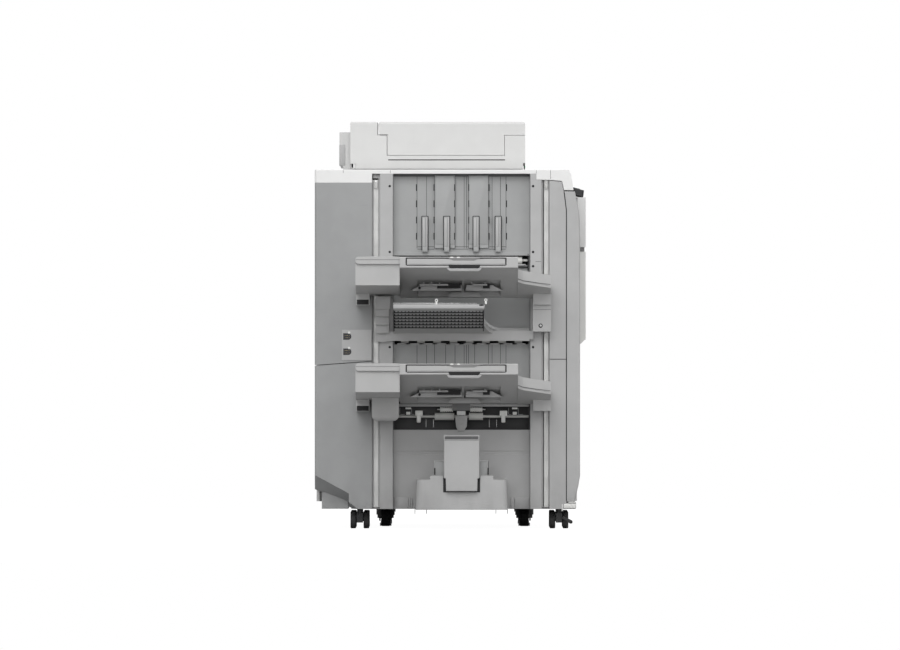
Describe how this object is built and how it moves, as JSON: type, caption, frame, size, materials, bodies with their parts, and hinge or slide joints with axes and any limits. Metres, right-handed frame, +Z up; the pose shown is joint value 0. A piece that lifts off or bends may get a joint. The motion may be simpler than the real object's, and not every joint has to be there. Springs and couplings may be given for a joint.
{
  "type": "photocopier",
  "caption": "Floor-standing office photocopier with a document feeder, paper drawers and a docked stapling and booklet finisher with lift trays, on casters.",
  "frame": {"origin": "on the floor, at the middle of the overall box", "axes": "+Z up, +X towards the operator's front, -Y towards the delivery side where the finisher's trays stand out"},
  "size_m": [0.789, 1.345, 1.185],
  "materials": {
    "finisher_grey": "satin",
    "pale_cover": "satin",
    "bay_grey": "satin",
    "tray_grey": "fine grain",
    "chassis": "matt",
    "rail_steel": "brushed",
    "screw": "black oxide",
    "roller": "ground",
    "black_plastic": "matt",
    "wheel": "matt",
    "glass": "polished",
    "key": "gloss"
  },
  "bodies": {
    "machine": {"finisher_rear_upper_cover": "finisher_grey", "finisher_rear_lower_cover": "finisher_grey", "finisher_front_upper_cover": "finisher_grey", "finisher_front_lower_cover": "finisher_grey", "finisher_top_cover": "pale_cover", "reader_case": "pale_cover", "main_rear_cover": "pale_cover", "main_right_cover": "pale_cover", "rail_columns": "bay_grey", "stacker_wall": "bay_grey", "booklet_wall": "bay_grey", "booklet_tray": "bay_grey", "connector_plate": "bay_grey", "middle_tray": "tray_grey", "finisher_frame": "chassis", "main_frame": "chassis", "fixed_caster_yokes": "chassis", "leveling_feet": "chassis", "lift_rails": "rail_steel", "cover_screws": "screw", "booklet_exit_unit": "black_plastic", "main_caster_cups": "black_plastic", "toner_bottles": "black_plastic", "drum_units": "black_plastic", "platen_glass": "glass"},
    "upper_stack": {"upper_tray": "tray_grey", "upper_tray_housing": "tray_grey", "upper_tray_arm": "tray_grey"},
    "upper_extension": {"upper_tray_extension": "tray_grey"},
    "lower_stack": {"lower_tray": "tray_grey", "lower_tray_housing": "tray_grey", "lower_tray_arm": "tray_grey"},
    "lower_extension": {"lower_tray_extension": "tray_grey"},
    "upper_rollers": {"upper_exit_rollers": "roller"},
    "lower_rollers": {"lower_exit_rollers": "roller"},
    "booklet_rollers": {"booklet_exit_rollers": "roller"},
    "booklet_gate": {"booklet_stop": "bay_grey"},
    "side_panel": {"finisher_door": "finisher_grey"},
    "stapler": {"staple_unit": "black_plastic"},
    "rear_swivel": {"rear_swivel_yoke": "chassis"},
    "rear_swivel_pair": {"rear_swivel_wheels": "wheel"},
    "front_swivel": {"front_swivel_yoke": "chassis"},
    "front_swivel_pair": {"front_swivel_wheels": "wheel"},
    "fixed_pair": {"fixed_caster_wheels": "wheel"},
    "near_pair": {"main_wheels_near": "wheel"},
    "far_pair": {"main_wheels_far": "wheel"},
    "scanner": {"scan_carriage": "black_plastic"},
    "feeder": {"adf_body": "pale_cover"},
    "feeder_lid": {"adf_feeder_cover": "pale_cover"},
    "panel": {"control_panel": "black_plastic"},
    "start_key": {"start_button": "key"},
    "front_cover": {"front_door": "pale_cover"},
    "toner_cover": {"toner_door": "pale_cover"},
    "left_drawer": {"left_deck": "pale_cover"},
    "right_drawer": {"right_deck": "pale_cover"},
    "upper_drawer": {"upper_cassette": "pale_cover"},
    "lower_drawer": {"lower_cassette": "pale_cover"},
    "side_door": {"right_door": "pale_cover"},
    "bypass": {"bypass_tray": "tray_grey"}
  },
  "joints": [
    {"name": "upper_tray_lift", "type": "slide", "parent": "machine", "child": "upper_stack", "axis": [0, 0, 1], "range_m": [0, 0.095]},
    {"name": "upper_extension_slide", "type": "slide", "parent": "upper_stack", "child": "upper_extension", "axis": [0, -0.9595, 0.2816], "range_m": [0, 0.126]},
    {"name": "lower_tray_lift", "type": "slide", "parent": "machine", "child": "lower_stack", "axis": [0, 0, 1], "range_m": [-0.045, 0.045]},
    {"name": "lower_extension_slide", "type": "slide", "parent": "lower_stack", "child": "lower_extension", "axis": [0, -0.9595, 0.2816], "range_m": [0, 0.126]},
    {"name": "upper_rollers_spin", "type": "hinge", "parent": "machine", "child": "upper_rollers", "pos_m": [0.0305, -0.3585, 0.777], "axis": [1, 0, 0], "continuous": true},
    {"name": "lower_rollers_spin", "type": "hinge", "parent": "machine", "child": "lower_rollers", "pos_m": [0.0305, -0.3585, 0.548], "axis": [1, 0, 0], "continuous": true},
    {"name": "booklet_rollers_spin", "type": "hinge", "parent": "machine", "child": "booklet_rollers", "pos_m": [0.0305, -0.3425, 0.325], "axis": [1, 0, 0], "continuous": true},
    {"name": "booklet_stop_fold", "type": "hinge", "parent": "machine", "child": "booklet_gate", "pos_m": [0.0305, -0.5415, 0.113], "axis": [1, 0, 0], "range_deg": [0, 85]},
    {"name": "finisher_door_swing", "type": "hinge", "parent": "machine", "child": "side_panel", "pos_m": [0.3615, -0.3835, 0.52], "axis": [0, 0, -1], "range_deg": [0, 100]},
    {"name": "stapler_travel", "type": "slide", "parent": "machine", "child": "stapler", "axis": [1, 0, 0], "range_m": [0, 0.22]},
    {"name": "rear_swivel_turn", "type": "hinge", "parent": "machine", "child": "rear_swivel", "pos_m": [-0.2645, -0.3285, 0.05], "axis": [0, 0, 1], "continuous": true},
    {"name": "rear_swivel_roll", "type": "hinge", "parent": "rear_swivel", "child": "rear_swivel_pair", "pos_m": [-0.2645, -0.3125, 0.025], "axis": [1, 0, 0], "continuous": true},
    {"name": "front_swivel_turn", "type": "hinge", "parent": "machine", "child": "front_swivel", "pos_m": [0.313, -0.3285, 0.05], "axis": [0, 0, 1], "continuous": true},
    {"name": "front_swivel_roll", "type": "hinge", "parent": "front_swivel", "child": "front_swivel_pair", "pos_m": [0.313, -0.3125, 0.025], "axis": [1, 0, 0], "continuous": true},
    {"name": "fixed_casters_roll", "type": "hinge", "parent": "machine", "child": "fixed_pair", "pos_m": [0.024, -0.0745, 0.025], "axis": [1, 0, 0], "continuous": true},
    {"name": "near_wheels_roll", "type": "hinge", "parent": "machine", "child": "near_pair", "pos_m": [0.0115, 0.0535, 0.026], "axis": [1, 0, 0], "continuous": true},
    {"name": "far_wheels_roll", "type": "hinge", "parent": "machine", "child": "far_pair", "pos_m": [0.0115, 0.5825, 0.026], "axis": [1, 0, 0], "continuous": true},
    {"name": "scanner_travel", "type": "slide", "parent": "machine", "child": "scanner", "axis": [0, 1, 0], "range_m": [0, 0.42]},
    {"name": "feeder_lift", "type": "hinge", "parent": "machine", "child": "feeder", "pos_m": [-0.325, 0.29, 1.05], "axis": [0, -1, 0], "range_deg": [0, 65]},
    {"name": "feeder_lid_lift", "type": "hinge", "parent": "feeder", "child": "feeder_lid", "pos_m": [0, -0.0045, 1.089], "axis": [1, 0, 0], "range_deg": [0, 70]},
    {"name": "panel_tilt", "type": "hinge", "parent": "machine", "child": "panel", "pos_m": [0.249, 0.3135, 1.011], "axis": [0, -1, 0], "range_deg": [0, 20]},
    {"name": "start_key_press", "type": "slide", "parent": "panel", "child": "start_key", "axis": [0, 0, -1], "range_m": [0, 0.002], "stiffness_N_per_m": 300},
    {"name": "front_door_swing", "type": "hinge", "parent": "machine", "child": "front_cover", "pos_m": [0.3825, -0.0095, 0.67], "axis": [0, 0, -1], "range_deg": [0, 90]},
    {"name": "toner_door_drop", "type": "hinge", "parent": "machine", "child": "toner_cover", "pos_m": [0.3915, 0.3275, 0.821], "axis": [0, 1, 0], "range_deg": [0, 80]},
    {"name": "left_drawer_slide", "type": "slide", "parent": "machine", "child": "left_drawer", "axis": [1, 0, 0], "range_m": [0, 0.44]},
    {"name": "right_drawer_slide", "type": "slide", "parent": "machine", "child": "right_drawer", "axis": [1, 0, 0], "range_m": [0, 0.44]},
    {"name": "upper_drawer_slide", "type": "slide", "parent": "machine", "child": "upper_drawer", "axis": [1, 0, 0], "range_m": [0, 0.44]},
    {"name": "lower_drawer_slide", "type": "slide", "parent": "machine", "child": "lower_drawer", "axis": [1, 0, 0], "range_m": [0, 0.44]},
    {"name": "side_door_swing", "type": "hinge", "parent": "machine", "child": "side_door", "pos_m": [-0.144, 0.6685, 0.565], "axis": [0, 0, 1], "range_deg": [0, 80]},
    {"name": "bypass_drop", "type": "hinge", "parent": "side_door", "child": "bypass", "pos_m": [0.04, 0.6685, 0.492], "axis": [-1, 0, 0], "range_deg": [0, 70]}
  ]
}
